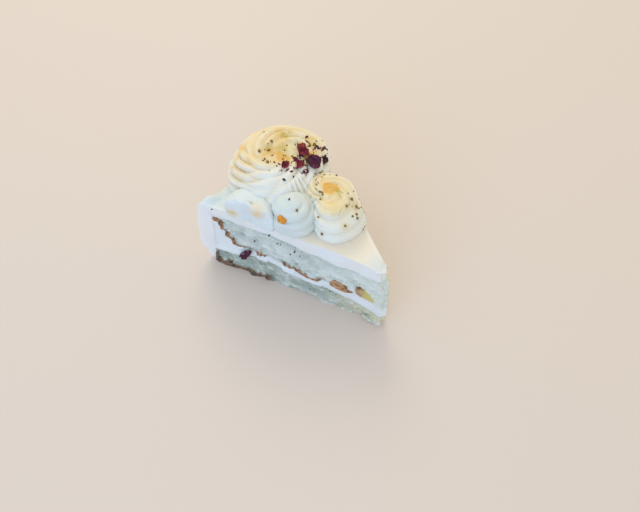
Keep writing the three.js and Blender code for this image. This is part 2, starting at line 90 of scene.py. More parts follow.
# What the words in a rosette's row mean, besides its place and size:
#   hollow, full: the hollow in its middle, and how full its shoulders are
#   ridges, starts, spin: ridges from its middle to its foot, how many start in the middle, and where
#   turn_depth, ridge_depth: grooves between its turns and between the ridges, as shares of its radius
#   lean, lobes: how far its top leans, and lobes and dents as direction, length and width
#   warm: how far down the warm tint reaches, part saffron and part painted warm light, and how much further
#       on the flank away from the view
#   soft, proud: how round the knife left the edge, and how far the cream stands out of the cut
#   crease: where a fold is in the cut, as a distance from the point, and how deep
#   grid: the number of rings, and of points on a ring
#   sweeps: where the nozzle was drawn over the flank, as direction, width, how much of the turns is kept,
#     number of ribs, their slant, their depth as a share of the radius, and how far up the flank they start
ROSETTES = {
    "rosette_rim": dict(
        x=-1.6, y=77.3, radius=26, height=22.5, hollow=2.5, full=0.72,
        ridges=7, starts=7, spin=0.4, turn_depth=0.03, ridge_depth=0.08,
        lean=(1, 1), lobes=[(-0.1, 3, 0.5)], warm=(0.4, 0.36),
        soft=0.5, proud=0.0, crease=(0, 0), grid=(170, 320),
        sweeps=[
            (2.6, 0.75, 0.1, 7.8, 18.5, 0.1, 0.2), (-2.45, 0.6, 0.15, 5, 6, 0.04, 0.14),
            (-1.74, 0.26, 0.0, 25, 2, 0.075, 0.24),
        ]),
    "rosette_inner": dict(
        x=2.2, y=45.4, radius=19.2, height=20.5, hollow=1.5, full=1.05,
        ridges=7, starts=5, spin=2.1, turn_depth=0.03, ridge_depth=0.075,
        lean=(1.5, 1), lobes=[(0.35, -2.5, 0.6), (2.9, -10, 0.9), (-1.3, 3, 0.6), (-2.2, 2.5, 0.6)],
        warm=(0.44, 0.06),
        soft=0.5, proud=0.0, crease=(0, 0), grid=(130, 240),
        sweeps=[(2.6, 0.6, 0.2, 9, 1, 0.06, 0.3), (-1.9, 1.05, 0.1, 0.8, 12.5, 0.085, 0.12)]),
    "rosette_cut_outer": dict(
        x=-29.5, y=68.8, radius=15.5, height=15.2, hollow=0.5, full=0.5,
        ridges=3, starts=2, spin=1, turn_depth=0.03, ridge_depth=0.02,
        lean=(1, 0), lobes=[(-0.6, -3.7, 0.8)], warm=(0, 0),
        soft=3.6, proud=1.3, crease=(76.5, 1.5), grid=(110, 200),
        sweeps=[(-2.73, 1.2, 0.3, 3.4, 0, 0.09, 0.2)]),
    "rosette_cut_inner": dict(
        x=-12.5, y=54, radius=12.8, height=18.5, hollow=-1.0, full=0.8,
        ridges=4, starts=2, spin=2.4, turn_depth=0.1, ridge_depth=0.03,
        lean=(-0.5, 0.5), lobes=[(2.4, -0.3, 0.8)], warm=(0, 0),
        soft=1.4, proud=1.4, crease=(0, 0), grid=(110, 200),
        sweeps=[(-1.5, 0.9, 0.2, 0.4, 12, 0.1, 0.05)]),
}
ROOT_DEPTH = 7.0  # the piped cream runs down into the coat, and shows at the cut
ROOT_ROWS = 14
ROOT_SINK = 2.3  # the root's end lies this far under the coat's cream
CREASE_WIDTH = 2.4

AWAY_FROM_VIEW = 0.8  # direction in the plan of the flank that is painted warmest, part saffron and part painted warm light

PETALS = {
    "petal_large": dict(x=9.2, y=71.8, long=8.6, wide=6.2, turn=1.1, cup=1.3),
    "petal_purple": dict(x=9.6, y=62.8, long=7.2, wide=7.2, turn=2.2, cup=1.1),
    "petal_pink": dict(x=3.2, y=66.6, long=6.6, wide=4.6, turn=-0.9, cup=1.0),
    "petal_red": dict(x=-2.4, y=71, long=5, wide=3.4, turn=0.3, cup=0.8),
    "petal_edge": dict(x=16.9, y=62.6, long=4.6, wide=3.4, turn=3.6, cup=0.7),
}
PETAL_THICKNESS = 0.45
FACE_PIECES = {
    "filling_piece_long": dict(t=23.3, z=25.2, size=(7.3, 4.4, 4.5), out=1.7, turn=0.05, seed=0, square=0.5,
                               slant=-0.25),
    "filling_piece_tip": dict(t=6.2, z=27.3, size=(8.3, 3.9, 3), out=1.7, turn=0.25, seed=1, square=0.6,
                              slant=-0.2),
    "nut_piece": dict(t=56.3, z=72.3, size=(2.5, 2.3, 2.1), out=1.8, turn=0.3, seed=5, square=0.9, slant=0),
}
FACE_PETAL = dict(t=80.2, z=22.2, long=14.5, wide=4.4, cup=0.5, out=1.1, turn=-1.05)


# ---------------------------------------------------------------- numbers: splines and noise

def smoothstep(x, low, high):
    share = np.clip((x - low) / (high - low), 0, 1)
    return share * share * (3 - 2 * share)


def spline(values, share):
    """A smooth line through evenly spaced values or points, read at shares from 0 to 1."""
    values = np.asarray(values, float)
    last = len(values) - 1
    place = np.clip(share, 0, 1) * last
    i = np.minimum(place.astype(int), last - 1)
    f = place - i
    if values.ndim > 1:
        f = f[..., None]
    a, b = values[np.maximum(i - 1, 0)], values[i]
    c, d = values[i + 1], values[np.minimum(i + 2, last)]
    start, end = (c - a) / 2, (d - b) / 2
    return (2 * b - 2 * c + start + end) * f**3 + (3 * c - 3 * b - 2 * start - end) * f**2 + start * f + b


def lattice(i, j, k, seed):
    """A repeatable random number from 0 to 1 for each corner of a grid."""
    mixed = (i * 374761393 + j * 668265263 + k * 1274126177 + seed * 97531) & 0xFFFFFFFF
    mixed = ((mixed ^ (mixed >> 13)) * 1103515245) & 0xFFFFFFFF
    mixed = ((mixed ^ (mixed >> 15)) * 668265263) & 0xFFFFFFFF
    return (mixed ^ (mixed >> 16)) / 0xFFFFFFFF


def noise(x, y, z=0.0, seed=0):
    """Smooth noise from -1 to 1, with one bump for each unit of length."""
    spots = np.broadcast_arrays(np.asarray(x, float), np.asarray(y, float), np.asarray(z, float))
    cells = [np.floor(spot).astype(np.int64) for spot in spots]
    fades = [(s - c) ** 2 * (3 - 2 * (s - c)) for s, c in zip(spots, cells)]
    total = 0.0
    for corner in np.ndindex(2, 2, 2):
        weight = 1.0
        for step, fade in zip(corner, fades):
            weight = weight * (fade if step else 1 - fade)
        total = total + weight * lattice(*(c + step for c, step in zip(cells, corner)), seed)
    return 2 * total - 1


def rough(x, y, z=0.0, seed=0, octaves=3):
    """Noise with finer and weaker noise on it."""
    return sum(noise(x * 2**n, y * 2**n, z * 2**n, seed + n) / 2**n for n in range(octaves))


def pits(x, y, seed):
    """How deep a point lies in the round pores of a crumb, from 0 to 1, with one pore for each unit cell."""
    i, j = np.floor(x).astype(np.int64), np.floor(y).astype(np.int64)
    depth = np.zeros_like(x)
    for di in (-1, 0, 1):
        for dj in (-1, 0, 1):
            cx = i + di + 0.15 + 0.7 * lattice(i + di, j + dj, 1, seed)
            cy = j + dj + 0.15 + 0.7 * lattice(i + di, j + dj, 2, seed)
            size = 0.18 + 0.42 * lattice(i + di, j + dj, 3, seed)
            depth = np.maximum(depth, 1 - np.hypot(x - cx, y - cy) / size)
    return np.sqrt(np.clip(depth, 0, 1))


# ---------------------------------------------------------------- meshes

def mesh_piece(name, points, faces, marks=None, corners=False):
    """A smooth mesh object from points in millimetres, with its attributes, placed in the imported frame."""
    mesh = bpy.data.meshes.new(name)
    mesh.from_pydata(((points + APEX) * MM).tolist(), [], [list(face) for face in faces])
    mesh.polygons.foreach_set("use_smooth", np.ones(len(mesh.polygons), bool))
    for mark, values in (marks or {}).items():
        attribute = mesh.attributes.new(mark, "FLOAT", "POINT")
        attribute.data.foreach_set("value", np.asarray(values, np.float32))
    if corners:
        mesh.set_sharp_from_angle(angle=CORNER_ANGLE)
    piece = bpy.data.objects.new(name, mesh)
    bpy.context.scene.collection.objects.link(piece)
    return piece


def block_grid(steps):
    """The skin of a box grid: points as shares from 0 to 1 along its three axes, and quads facing outward."""
    n = np.array(steps)
    quads = []
    for axis in range(3):
        b, c = (axis + 1) % 3, (axis + 2) % 3
        i, j = np.meshgrid(np.arange(n[b] + 1), np.arange(n[c] + 1), indexing="ij")
        for end in (0, 1):
            corner = np.zeros(i.shape + (3,), int)
            corner[..., axis] = end * n[axis]
            corner[..., b] = i
            corner[..., c] = j
            key = (corner[..., 0] * (n[1] + 1) + corner[..., 1]) * (n[2] + 1) + corner[..., 2]
            loop = [key[:-1, :-1], key[1:, :-1], key[1:, 1:], key[:-1, 1:]]
            quads.append(np.stack(loop if end else loop[::-1], -1).reshape(-1, 4))
    used, index = np.unique(np.concatenate(quads), return_inverse=True)
    return np.stack(np.unravel_index(used, tuple(n + 1)), -1) / n, index.reshape(-1, 4)


# ---------------------------------------------------------------- the slice's plan and layers

def spot(t, side):
    """Plan position at a distance t from the point, on the side from -1, the left cut, to 1, the right."""
    wide = np.hypot(t * math.sin(HALF_ANGLE), TIP_HALF_WIDTH)
    blunt = TIP_HALF_WIDTH * np.sqrt(np.clip(1 - (t / (TIP_REACH * 1.05)) ** 2, 0, 1))
    half = np.where(t > 0, wide, blunt)
    curve = CUT_CURVE * smoothstep(t, CUT_CURVE_FROM, CUT_CURVE_TO) * np.maximum(0, side) ** 2
    x = half * np.sin(side * HALF_ANGLE) / math.sin(HALF_ANGLE) - curve
    y = np.where(t > 0, t * np.cos(side * HALF_ANGLE), t)
    return np.stack([x, y], -1)


def raised(plan, side, amount):
    """Moves points that lie on a cut face out of it by an amount."""
    reach = np.where(np.abs(side) > 0.999, amount, 0.0)
    plan[:, 0] += side * math.cos(HALF_ANGLE) * reach
    plan[:, 1] -= math.sin(HALF_ANGLE) * reach
    return plan


def wall_inset(side):
    """How much nearer to the point the wall is than at the left cut."""
    return WALL_FLARE * (1 - ((1 - side) / 2) ** FLARE_FALL)


def wall_at(z, side):
    share = np.clip(z / CREAM_UNDER_TOP, 0, 1)
    return WALL_LOW + (WALL_HIGH - WALL_LOW) * share - GAP - wall_inset(side)


def tip_at(z, side):
    lumps = 1.6 * (0.5 + 0.5 * noise(z / 5, side * 2, 4)) + 1.2 * side * side
    worn = 4.0 * smoothstep(z, 6, 0) + 1.5 * smoothstep(z, 40, 48)
    return -TIP_REACH + lumps + worn + 0.9 * rough(z / 2.2, side * 2.0, 9, 3)


def pores_at(t, z):
    """Pores of two sizes, in patches, on a grid that is bent so that they don't stand in rows."""
    along, up = t + 1.6 * noise(t / 4, z / 4, 3, 14), z + 1.3 * noise(t / 4, z / 4, 8, 15)
    open_crumb = smoothstep(noise(t / 9, z / 7, 2, 16), -0.3, 0.5)
    large, small = pits(along / 4.2, up / 3.2, 5), pits(along / 1.7, up / 1.4, 9)
    return open_crumb * 1.1 * large + (0.2 + 0.5 * open_crumb) * small


def crumb_relief(t, z, side):
    """The torn crumb of a cut sponge: lumps, grains and pores."""
    swell = 0.85 * noise(t / 5.5, z / 4.5, side * 7, 1) + 0.4 * noise(t / 14, z / 11, side * 3, 2)
    grain = 0.4 * rough(t / 1.9, z / 1.5, side * 5, 3, 3)
    torn = 0.9 * noise(t / 3.1, z / 2.6, side * 4, 11) * smoothstep(noise(t / 11, z / 9, side, 12), -0.2, 0.4)
    return swell + grain + torn - pores_at(t, z) + 0.3


def cream_relief(t, z, side):
    """Cream that the knife has dragged along the cut: soft swells and fine drag lines."""
    swell = 0.45 * noise(t / 9, z / 7, side * 5, 20)
    drag = 0.16 * rough(t / 7 + z / 9, z / 1.6, side * 3, 23, 3)
    return swell + drag - 0.05


def crust_on_cut(t, z, side, line, rise):
    """Where the browned skin of a sponge shows at the cut: strong by the wall, broken towards the point.

    line is the height of the sponge's underside there, and rise is how steeply it climbs.
    """
    off = (z - line - 0.9) / np.hypot(1, rise)
    by_wall = smoothstep(t, *CRUST_BY_WALL)
    thick = 1.3 + 0.9 * by_wall + 0.6 * noise(t / 3.4, z / 6, side, 31)
    patchy = smoothstep(noise(t / 7, 8, side, 33), -0.3, 0.15) * smoothstep(t, *CRUST_PATCHES)
    middle = smoothstep(np.abs(t - CRUST_MIDDLE), *MIDDLE_REACH)
    upper = np.maximum(by_wall, np.maximum(patchy, middle)) * smoothstep(thick - np.abs(off), -0.4, 0.4)
    upper = upper * smoothstep(line, 5, 9)
    below = FOOT_CRUST + 1.6 * noise(t / 4, 4, side, 35) - z
    foot = smoothstep(below, -0.6, 0.5) * smoothstep(t, *FOOT_CRUST_FROM)
    end = smoothstep(1.6 - np.abs(wall_at(z, side) - t - 0.6), -0.5, 0.5) * smoothstep(z, 14, 8)
    return np.clip(upper + foot + end, 0, 1)


def layer(name, steps, base, top, relief):
    """A layer of the cake, from the point to the inside of the cream wall.

    base and top are each a line of heights, and how far above that line the face lies.
    """
    share, faces = block_grid(steps)
    u, side, w = share[:, 0], 1 - 2 * share[:, 1], share[:, 2]
    low, high = (spline(line, u) + above for line, above in (base, top))
    z = low + (high - low) * w
    t = tip_at(z, side) + (wall_at(z, side) - tip_at(z, side)) * u
    proud = relief(t, z, side)
    step = 0.005
    rise = (low - spline(base[0], u - step) - base[1]) / (step * (WALL_HIGH + TIP_REACH))
    crust = crust_on_cut(t, z, side, low, rise)
    plan = raised(spot(t, side), side, proud + CRUST_PROUD * crust)
    marks = {"t": t, "crust": crust, "high": proud}
    return mesh_piece(name, np.column_stack([plan, z]), faces, marks, corners=True)


def lower_sponge():
    top = (LOWER_SPONGE_TOP, -GAP / 2)
    return layer("lower_sponge", (330, 10, 54), ([0, 0], 0), top, crumb_relief)


def cream_filling():
    base, top = (LOWER_SPONGE_TOP, -LAYER_OVERLAP), (UPPER_SPONGE_BASE, LAYER_OVERLAP)
    return layer("cream_filling", (260, 10, 30), base, top, cream_relief)


def upper_sponge():
    base, top = (UPPER_SPONGE_BASE, GAP / 2), (UPPER_SPONGE_TOP, -GAP / 2)
    return layer("upper_sponge", (330, 10, 84), base, top, crumb_relief)


def coat_inside(u, side):
    """The coat's inner line: over the upper sponge, round its corner and down the wall."""
    end = WALL_HIGH - wall_inset(side)
    along_top = COAT_POINT + (end - COAT_POINT) * np.minimum(u / COAT_CORNER, 1)
    under_top = spline(UPPER_SPONGE_TOP, (along_top + TIP_REACH) / (end + TIP_REACH))
    down = np.clip((u - COAT_CORNER) / (1 - COAT_CORNER), 0, 1)
    wall_top = UPPER_SPONGE_TOP[-1]
    z = np.where(u <= COAT_CORNER, under_top - LAYER_OVERLAP, wall_top * (1 - down))
    t = np.where(u <= COAT_CORNER, along_top, wall_at(z, side) + GAP - LAYER_OVERLAP)
    return t, z


def cream_coat():
    share, faces = block_grid((300, 84, 14))
    u, side, w = share[:, 0], 1 - 2 * share[:, 1], share[:, 2]
    inner_t, inner_z = coat_inside(u, side)
    outer = spline(COAT_OUTSIDE, u)
    t_out = outer[:, 0].copy()
    outer[:, 0] -= wall_inset(side) * smoothstep(outer[:, 0], 60, 95)
    wall = w * smoothstep(u, *COAT_WALL)
    top = w - wall
    z = inner_z + (outer[:, 1] - inner_z) * w
    lip = smoothstep(t_out, LIP_FROM, LIP_TO) * np.exp(-(((side - LIP_SIDE) / LIP_WIDTH) ** 2))
    z = z + top * (0.18 * rough(u * 9, side * 1.6, 3, 41) + LIP_HEIGHT * lip)
    t = inner_t + (outer[:, 0] - inner_t) * w
    t = t + wall * (0.5 * noise(side * 3, z / 14, 2, 43) + 0.14 * rough(side * 5, z / 3, 5, 44))
    point = smoothstep(t, 6, COAT_POINT)
    t = t + point * (0.4 + 2.2 * side**2 + 1.3 * noise(side * 1.4, z / 3.5, 6, 45))
    z = z - top * point * (0.9 + 0.8 * noise(side * 2, t / 2, 7, 46))
    plan = raised(spot(t, side), side, cream_relief(t, z, side))
    points = np.column_stack([plan, z])
    # The mark shaded is painted shade: the left of the top near the wall, and the top at the point.
    shaded = np.maximum(smoothstep(t, 66, 76) * smoothstep(side, 0.2, -0.4), 0.8 * smoothstep(t, 16, 3))
    marks = {"top": top * (np.abs(side) < 0.999), "shaded": shaded}
    return mesh_piece("cream_coat", points, faces, crumb_marks(points) | marks, corners=True)


# ---------------------------------------------------------------- rosettes

# Where saffron milk has soaked into the piped cream, and where it is deep and olive in the grooves: x, y, z,
# how far it spreads, and how strong it is.
SAFFRON_SPOTS = [
    (-2, 79, 80, 5.5, 1.0), (-5, 84, 80, 3.5, 0.8), (3, 73, 80, 4, 0.8), (9, 70, 80, 4, 0.5),
    (12.6, 67, 78.7, 3.2, 0.9), (19.6, 75, 77.9, 3, 0.8), (11, 87, 79.6, 5, 0.5), (7, 81, 80, 5, 0.5),
    (-10, 97, 76, 3.6, 0.5), (-16, 93.5, 75.2, 3.2, 0.5), (-14.5, 86, 79, 3, 0.4),
    (-21, 92.5, 71.5, 3.4, 0.6), (-21, 86, 75, 4, 0.5), (-18.5, 79, 78, 4, 0.4), (0, 92, 78, 14, 0.25),
    (18, 66, 74, 6, 0.35),
    (4.5, 46.5, 78, 3.2, 1.0), (7, 44, 78, 3, 1.0), (1, 40, 77, 7.5, 0.4), (9.2, 31, 74, 3.4, 0.6),
    (-2, 27.5, 71.5, 2.4, 0.6), (8, 52, 77, 6, 0.4), (-33.9, 78.3, 61.5, 3.6, 1.1), (-28, 64.7, 71, 3.4, 1.1),
    (-24, 62, 64, 3, 0.3),
]
OLIVE_SPOTS = [
    (11.8, 86.5, 79.6, 4, 0.8), (10, 78, 80.3, 4.5, 1.0), (-2, 85.5, 80, 3, 1.0), (3.3, 81, 79.6, 2.6, 0.9),
    (4.6, 76, 79.7, 3, 1.0), (5, 95.5, 78, 2.5, 0.7), (19.6, 75, 77.9, 2.4, 0.6), (-21, 93, 72, 2.4, 0.5),
    (7, 42, 78.2, 2.6, 1.0), (6.3, 39, 78, 2.6, 0.9), (-0.9, 34, 76.2, 3, 0.8), (9, 31, 74, 3, 0.5),
    (-33.9, 78.3, 61, 3.4, 0.9), (-24.5, 58.5, 66, 3, 0.6),
]


def near_spots(points, spots):
    total = np.zeros(len(points))
    for x, y, z, spread, strength in spots:
        away = np.linalg.norm(points - [x, y, z], axis=1) / spread
        total = total + strength * np.exp(-(away**2))
    uneven = 0.8 + 0.5 * rough(points[:, 0] / 5, points[:, 1] / 5, points[:, 2] / 5, 71, 3)
    return np.clip(total * uneven, 0, 1)


def rosette_skin(r, climb, angle):
    """A point of the skin as x, y, z from the rosette's place, and how deep it lies in a groove."""
    bend = climb * (math.pi / 2 + FOOT_TUCK)
    lift = math.sin(FOOT_TUCK)
    radius = r["radius"]
    for toward, amount, width in r["lobes"]:
        turn = (-angle - toward + math.pi) % (2 * math.pi) - math.pi
        radius = radius + amount * np.exp(-((turn / width) ** 2))
    wander = 0.5 * noise(1.3 * np.cos(angle), 1.3 * np.sin(angle), climb * 3 + r["radius"], 51)
    phase = math.pi * r["ridges"] * climb - r["starts"] * angle / 2 + r["spin"] + wander
    crest = np.abs(np.sin(phase))
    fade = smoothstep(climb, 0.03, 0.25) * (1 - 0.5 * smoothstep(climb, 0.85, 1))
    uneven = 1 + 0.35 * noise(phase / math.pi, 1.2 * np.cos(angle), 1.2 * np.sin(angle), 53)
    rope = np.abs(np.sin(phase / r["starts"]))
    relief = r["ridge_depth"] * (crest - 0.64) + r["turn_depth"] * (rope - 0.64)
    for toward, width, kept, ribs, slant, depth, start in r["sweeps"]:
        turn = (-angle - toward + math.pi) % (2 * math.pi) - math.pi
        share = np.exp(-((turn / width) ** 2)) * smoothstep(climb, start, start + 0.14)
        rib = np.abs(np.sin(ribs * turn + slant * climb + 0.7))
        relief = relief * (1 - share * (1 - kept)) + depth * (rib - 0.64) * share
        crest = crest * (1 - share) + share * (rib if ribs else crest)
    ridge = r["radius"] * relief * fade * uneven
    swell = 0.6 * noise(1.5 * np.cos(angle) + r["radius"], 1.5 * np.sin(angle), climb * 2, 55)
    grain = 0.12 * rough(phase * 2.2, angle * 2.5, r["radius"], 57, 2) * fade
    out = ridge + swell * climb + grain
    along = radius * np.sin(bend) ** r["full"] + out * np.sin(bend)
    dome = r["height"] * (np.cos(bend) + lift) / (1 + lift)
    hollow = r["hollow"] * np.exp(-((along / (0.34 * r["radius"])) ** 2))
    z = dome - hollow + out * np.maximum(0, np.cos(bend))
    rise = np.clip(dome / r["height"], 0, 1)
    x = along * np.cos(angle) + r["lean"][0] * rise
    y = -along * np.sin(angle) + r["lean"][1] * rise
    return np.stack([x, y, z], -1), (1 - crest) * (1.15 - 0.6 * rope) * fade


def held_between_cuts(points, soft, proud):
    """Draws what lies beyond a cut plane back onto it, and says how far it lay. soft rounds the edge."""
    near = np.full(len(points), -np.inf)
    for side in (-1, 1):
        normal = np.array([side * math.cos(HALF_ANGLE), -math.sin(HALF_ANGLE), 0])
        beyond = points @ normal - proud
        held = -soft * np.logaddexp(0, -beyond / soft)
        points = points + (held - beyond)[:, None] * normal
        near = np.maximum(near, beyond)
    return points, near


def root_rings(r, foot, angle, depth):
    """The rings of the root, below the skin's foot. What the knife didn't reach narrows downwards."""
    rings = np.repeat(foot, ROOT_ROWS, 0)
    if r["soft"] < 1:
        rings[..., :2] *= (1 - 0.5 * smoothstep(depth, 0, 0.4))[..., None]
    rings[..., 2] = -depth * ROOT_DEPTH * (1 + 0.35 * noise(angle[:ROOT_ROWS] * 3, 2, 5, 61))
    return rings


def smeared(r, rings, near, shown):
    """Makes the cut part of the rings uneven, sinks it into the coat down the root, and says which it is."""
    smear = smoothstep(near, -1.5, 0.5)
    t = np.hypot(rings[:, 0], rings[:, 1])
    bulge = 0.95 * noise(t / 9, rings[:, 2] / 9, 3, 63) + 0.18 * rough(t / 3, rings[:, 2] / 3, 3, 64)
    crease_at, crease_depth = r["crease"]
    bulge = bulge - crease_depth * np.exp(-(((t - crease_at) / CREASE_WIDTH) ** 2))
    sunk = (ROOT_SINK + r["proud"]) * smoothstep(shown + 0.1 * bulge, 0.0, 0.85)
    outward = smear * (0.5 + bulge - sunk)
    side = np.sign(rings[:, 0])
    rings[:, 0] += side * math.cos(HALF_ANGLE) * outward
    rings[:, 1] -= math.sin(HALF_ANGLE) * outward
    return rings, smear


def capped_rings(rings, around):
    """Faces of a closed skin that has a middle point, rings of points below it, and a bottom point."""
    ring = np.arange(around)
    after = (ring + 1) % around
    start = 1 + np.arange(rings - 1)[:, None] * around
    last = 1 + (rings - 1) * around
    quads = np.stack([start + ring, start + after, start + around + after, start + around + ring], -1)
    cap = np.stack([0 * ring, after + 1, ring + 1], -1)
    under = np.stack([ring + last, after + last, 0 * ring + last + around], -1)
    return quads.reshape(-1, 4).tolist() + cap.tolist() + under.tolist()


def rosette(name):
    """A piped rosette: its skin, and a root that runs down into the cream coat and shows at a cut."""
    r = ROSETTES[name]
    rows, around = r["grid"]
    turns = np.arange(around) * 2 * math.pi / around
    climb, angle = np.meshgrid(np.arange(1, rows + 1) / rows, turns, indexing="ij")
    skin, groove = rosette_skin(r, climb, angle)
    centre, _ = rosette_skin(r, np.array(1e-6), np.array(0.0))
    place = np.array([r["x"], r["y"], CAKE_TOP])
    depth = np.arange(1, ROOT_ROWS + 1)[:, None] / ROOT_ROWS
    rings = np.concatenate([skin, root_rings(r, skin[-1:], angle, depth)]).reshape(-1, 3) + place
    shown = np.concatenate([np.zeros(rows), depth[:, 0]]).repeat(around)
    rings, near = held_between_cuts(rings, r["soft"], r["proud"])
    rings, smear = smeared(r, rings, near, shown)
    points = np.concatenate([[centre + place], rings, [place + [0, 0, -ROOT_DEPTH]]])
    level, by_view = r["warm"]
    # Warm on top and further down the flank away from the view: part saffron, part painted warm light.
    warm = smoothstep(level + by_view * np.cos(-angle - AWAY_FROM_VIEW) - climb, -0.1, 0.1)
    below = np.zeros(ROOT_ROWS * around)
    marks = crumb_marks(points) | {
        "warm": np.concatenate([[1], warm.ravel(), below, [0]]),
        "groove": np.concatenate([[0], groove.ravel(), below, [0]]),
        "cut": np.concatenate([[0], smear, [0]]),
        "saffron": near_spots(points, SAFFRON_SPOTS),
        "olive": near_spots(points, OLIVE_SPOTS),
    }
    return mesh_piece(name, points, capped_rings(rows + ROOT_ROWS, around), marks)


# ---------------------------------------------------------------- petals, soaked pieces and the nut

def closed_sheet(rows, columns, place):
    """A thin closed sheet. place(u, v, face) gives its points; face is 1 above and 0 below."""
    u, v = np.meshgrid(np.linspace(0, 1, rows), np.linspace(0, 1, columns), indexing="ij")
    upper, lower = place(u, v, 1), place(u, v, 0)
    points = np.concatenate([upper.reshape(-1, 3), lower.reshape(-1, 3)])
    at = np.arange(rows * columns).reshape(rows, columns)
    quads = np.stack([at[:-1, :-1], at[1:, :-1], at[1:, 1:], at[:-1, 1:]], -1).reshape(-1, 4)
    rim = np.concatenate([at[:-1, 0], at[-1, :-1], at[:0:-1, -1], at[0, :0:-1]])
    under = rows * columns
    after = np.roll(rim, -1)
    edge = np.stack([after, rim, rim + under, after + under], -1)
    faces = np.concatenate([quads, quads[:, ::-1] + under, edge])
    share = np.tile(np.stack([u, v], -1).reshape(-1, 2), (2, 1))
    return points, faces, share


def petal_shape(long, wide, cup, seed, rows=34, columns=26):
    """A dried petal lying flat: narrow at one end, cupped, wrinkled and curled at its edge."""
    def place(u, v, face):
        girth = np.sin(math.pi * (0.1 + 0.82 * u**0.8)) ** 0.65
        ragged = 1 + 0.1 * rough(u * 5, v * 3, seed, 81)
        x = (u - 0.5) * long * (1 + 0.04 * rough(v * 5, seed, 2, 82))
        y = (v - 0.5) * wide * girth * ragged
        curve = cup * (2 * y / wide) ** 2 + 0.7 * cup * (2 * x / long) ** 2
        wave = 0.35 * np.sin(x * 1.3 + y) + 0.42 * rough(x / 2.2, y / 1.5, seed, 83)
        vein = 0.07 * np.cos(v * 34 + 2 * u)
        curl = 0.8 * smoothstep(np.abs(v - 0.5), 0.36, 0.5) * (0.6 + 0.6 * noise(u * 4, v * 2, seed, 84))
        return np.stack([x, y, curve + wave + vein + curl + (face - 0.5) * PETAL_THICKNESS], -1)
    return closed_sheet(rows, columns, place)


def turned(points, basis, place):
    """Points on the axes given as rows of basis, moved to a place."""
    return points @ np.asarray(basis, float) + place


def skin_point(name, x, y):
    """The skin of a rosette over a place of the plan, and the direction that points out of it there."""
    r = ROSETTES[name]
    rows, around, step = 160, 240, 6
    turns = np.arange(around) * 2 * math.pi / around
    climb, angle = np.meshgrid(np.linspace(0.001, 0.8, rows), turns, indexing="ij")
    skin, _ = rosette_skin(r, climb, angle)
    skin = skin + [r["x"], r["y"], CAKE_TOP]
    away = np.hypot(skin[..., 0] - x, skin[..., 1] - y)
    i, j = np.unravel_index(np.argmin(away), away.shape)
    i = np.clip(i, step, rows - 1 - step)
    outward = skin[i + step, j] - skin[i - step, j]
    round_it = skin[i, (j - step) % around] - skin[i, (j + step) % around]
    normal = np.cross(outward, round_it)
    return skin[i, j], normal / np.linalg.norm(normal)


def axes_on(normal, turn):
    """Axes for a thing that lies on a skin: its long axis turned in plan, and its up along the normal."""
    ahead = np.array([math.cos(turn), math.sin(turn), 0])
    across = np.cross(normal, ahead)
    across /= np.linalg.norm(across)
    return [np.cross(across, normal), across, normal]


def petal_on_rosette(name, seed):
    p = PETALS[name]
    points, faces, share = petal_shape(p["long"], p["wide"], p["cup"], seed)
    place, normal = skin_point("rosette_rim", p["x"], p["y"])
    points = turned(points, axes_on(normal, p["turn"]), place + 0.3 * normal)
    return mesh_piece(name, points, faces, {"u": share[:, 0], "v": share[:, 1]})


def face_axes(turn):
    """Axes on the left cut: towards the point, up, and out of the cut, turned in the cut's plane."""
    ahead = np.array([math.sin(HALF_ANGLE), -math.cos(HALF_ANGLE), 0])
    out = np.array([-math.cos(HALF_ANGLE), -math.sin(HALF_ANGLE), 0])
    up = np.array([0, 0, 1.0])
    cos, sin = math.cos(-turn), math.sin(-turn)
    return [cos * ahead + sin * up, cos * up - sin * ahead, out]


def place_on_face(t, z, out):
    plan = spot(np.array(float(t)), np.array(-1.0))
    return np.array([*plan, z]) + out * face_axes(0)[2]


def petal_in_filling():
    p = FACE_PETAL
    points, faces, share = petal_shape(p["long"], p["wide"], p["cup"], 7)
    points = turned(points, face_axes(p["turn"]), place_on_face(p["t"], p["z"], p["out"]))
    return mesh_piece("petal_in_filling", points, faces, {"u": share[:, 0], "v": share[:, 1]})


def ball_grid(steps):
    """A closed ball of radius 1 made from a box grid, so that it has no poles."""
    share, faces = block_grid((steps, steps, steps))
    cube = np.tan((share * 2 - 1) * math.pi / 4)
    return cube / np.linalg.norm(cube, axis=1)[:, None], faces


def soaked_lump(name):
    """A torn, soaked piece or a nut that sits in the left cut."""
    p = FACE_PIECES[name]
    ball, faces = ball_grid(36)
    square = np.sign(ball) * np.abs(ball) ** p["square"]
    swell = 1 + 0.12 * noise(*(ball * 1.7).T + p["seed"], 91)
    torn = 0.07 * rough(*(ball * 3.4).T + p["seed"], 92)
    points = square * np.array(p["size"]) * (swell + torn)[:, None]
    points[:, 0] += p["slant"] * points[:, 1]
    points = turned(points, face_axes(p["turn"]), place_on_face(p["t"], p["z"], p["out"] - p["size"][2]))
    return mesh_piece(name, points, faces, {"end": ball[:, 0], "out": ball[:, 2]})


# ---------------------------------------------------------------- scattered crumbs

